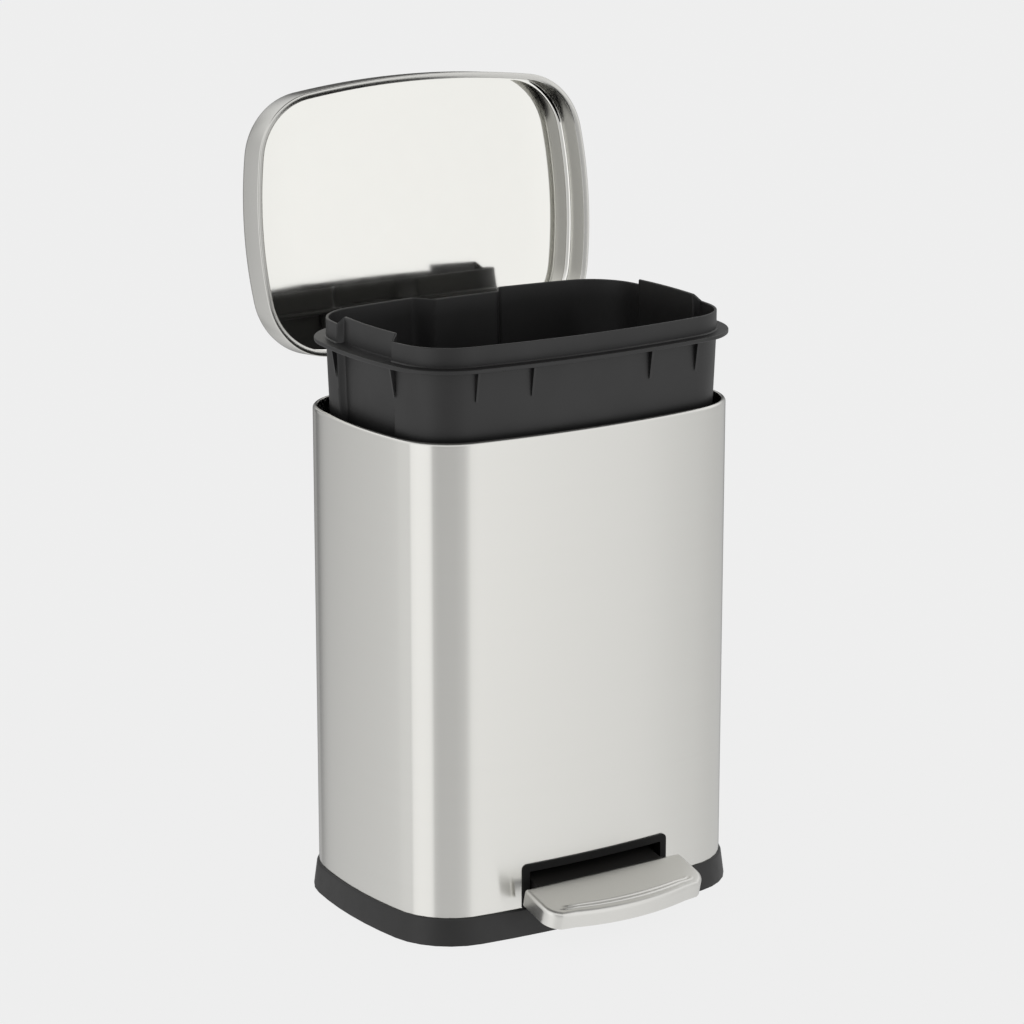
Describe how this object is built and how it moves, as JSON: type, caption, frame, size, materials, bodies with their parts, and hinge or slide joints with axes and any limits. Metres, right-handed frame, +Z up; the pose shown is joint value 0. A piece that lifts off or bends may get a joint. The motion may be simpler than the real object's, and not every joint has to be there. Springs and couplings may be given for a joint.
{
  "type": "pedal trash can",
  "caption": "Rectangular steel pedal bin with a hinged soft-close lid, a foot pedal, its linkage and a lift-out inner bucket.",
  "frame": {"origin": "on the floor, under the middle of the body's plan, on the base's flat underside", "axes": "+Z up, the front with the pedal faces -Y, +X to the right seen from the front"},
  "size_m": [0.2934, 0.3099, 0.587],
  "materials": {
    "brushed_steel": "fine vertical brushed grain, satin",
    "zinc_steel": "zinc plated, semi-bright",
    "base_plastic": "moulded, fine texture",
    "bucket_plastic": "moulded, satin",
    "lever_plastic": "moulded, satin",
    "pad_rubber": "matt rubber"
  },
  "bodies": {
    "frame": {"outer_shell": "brushed_steel", "base_tray": "base_plastic", "foot_pad_1": "pad_rubber", "foot_pad_2": "pad_rubber", "foot_pad_3": "pad_rubber", "foot_pad_4": "pad_rubber", "mechanism_cover": "base_plastic", "cover_screw_1": "zinc_steel", "cover_screw_2": "zinc_steel", "cover_screw_3": "zinc_steel", "cover_screw_4": "zinc_steel", "rear_channel": "base_plastic", "pedal_bezel": "base_plastic", "lever_axle": "zinc_steel", "axle_clip_left": "zinc_steel", "axle_clip_right": "zinc_steel", "hinge_housing": "base_plastic", "housing_screw_1": "zinc_steel", "housing_screw_2": "zinc_steel", "housing_screw_3": "zinc_steel", "housing_screw_4": "zinc_steel", "hinge_pin": "zinc_steel", "hinge_clip_left": "zinc_steel", "hinge_clip_right": "zinc_steel", "damper_cylinder": "zinc_steel"},
    "lid": {"lid_shell": "brushed_steel", "lid_bracket": "base_plastic", "bracket_nut_1": "zinc_steel", "bracket_nut_2": "zinc_steel", "bracket_nut_3": "zinc_steel", "bracket_nut_4": "zinc_steel"},
    "rod": {"push_rod": "zinc_steel", "rod_clip": "zinc_steel"},
    "pedal": {"pedal_lever": "lever_plastic", "pedal_tread": "brushed_steel", "tread_nut_left": "zinc_steel", "tread_nut_right": "zinc_steel"},
    "damper": {"damper_rod": "zinc_steel"},
    "bucket": {"inner_bucket": "bucket_plastic"}
  },
  "joints": [
    {"name": "lid_hinge", "type": "hinge", "parent": "frame", "child": "lid", "pos_m": [0, 0.1135, 0.3715], "axis": [1, 0, 0], "range_deg": [0, 95.5]},
    {"name": "rod_pivot", "type": "hinge", "parent": "lid", "child": "rod", "pos_m": [0, 0.09696, 0.39156], "axis": [1, 0, 0], "range_deg": [-95.5, 0]},
    {"name": "pedal_pivot", "type": "hinge", "parent": "frame", "child": "pedal", "pos_m": [0, -0.07, 0.028], "axis": [1, 0, 0], "range_deg": [-14, 0]},
    {"name": "damper_slide", "type": "slide", "parent": "frame", "child": "damper", "axis": [0, 0, 1], "range_m": [-0.037, 0]},
    {"name": "bucket_lift", "type": "slide", "parent": "frame", "child": "bucket", "axis": [0, 0, 1], "range_m": [-0.048, 0]}
  ],
  "couplings": [
    {"joint": "rod_pivot", "follows": "lid_hinge", "ratio": -1},
    {"joint": "pedal_pivot", "follows": "lid_hinge", "ratio": -0.14659},
    {"joint": "damper_slide", "follows": "lid_hinge", "m_per_rad": -0.022198},
    {"joint": "bucket_lift", "follows": "lid_hinge", "m_per_rad": -0.028797}
  ]
}
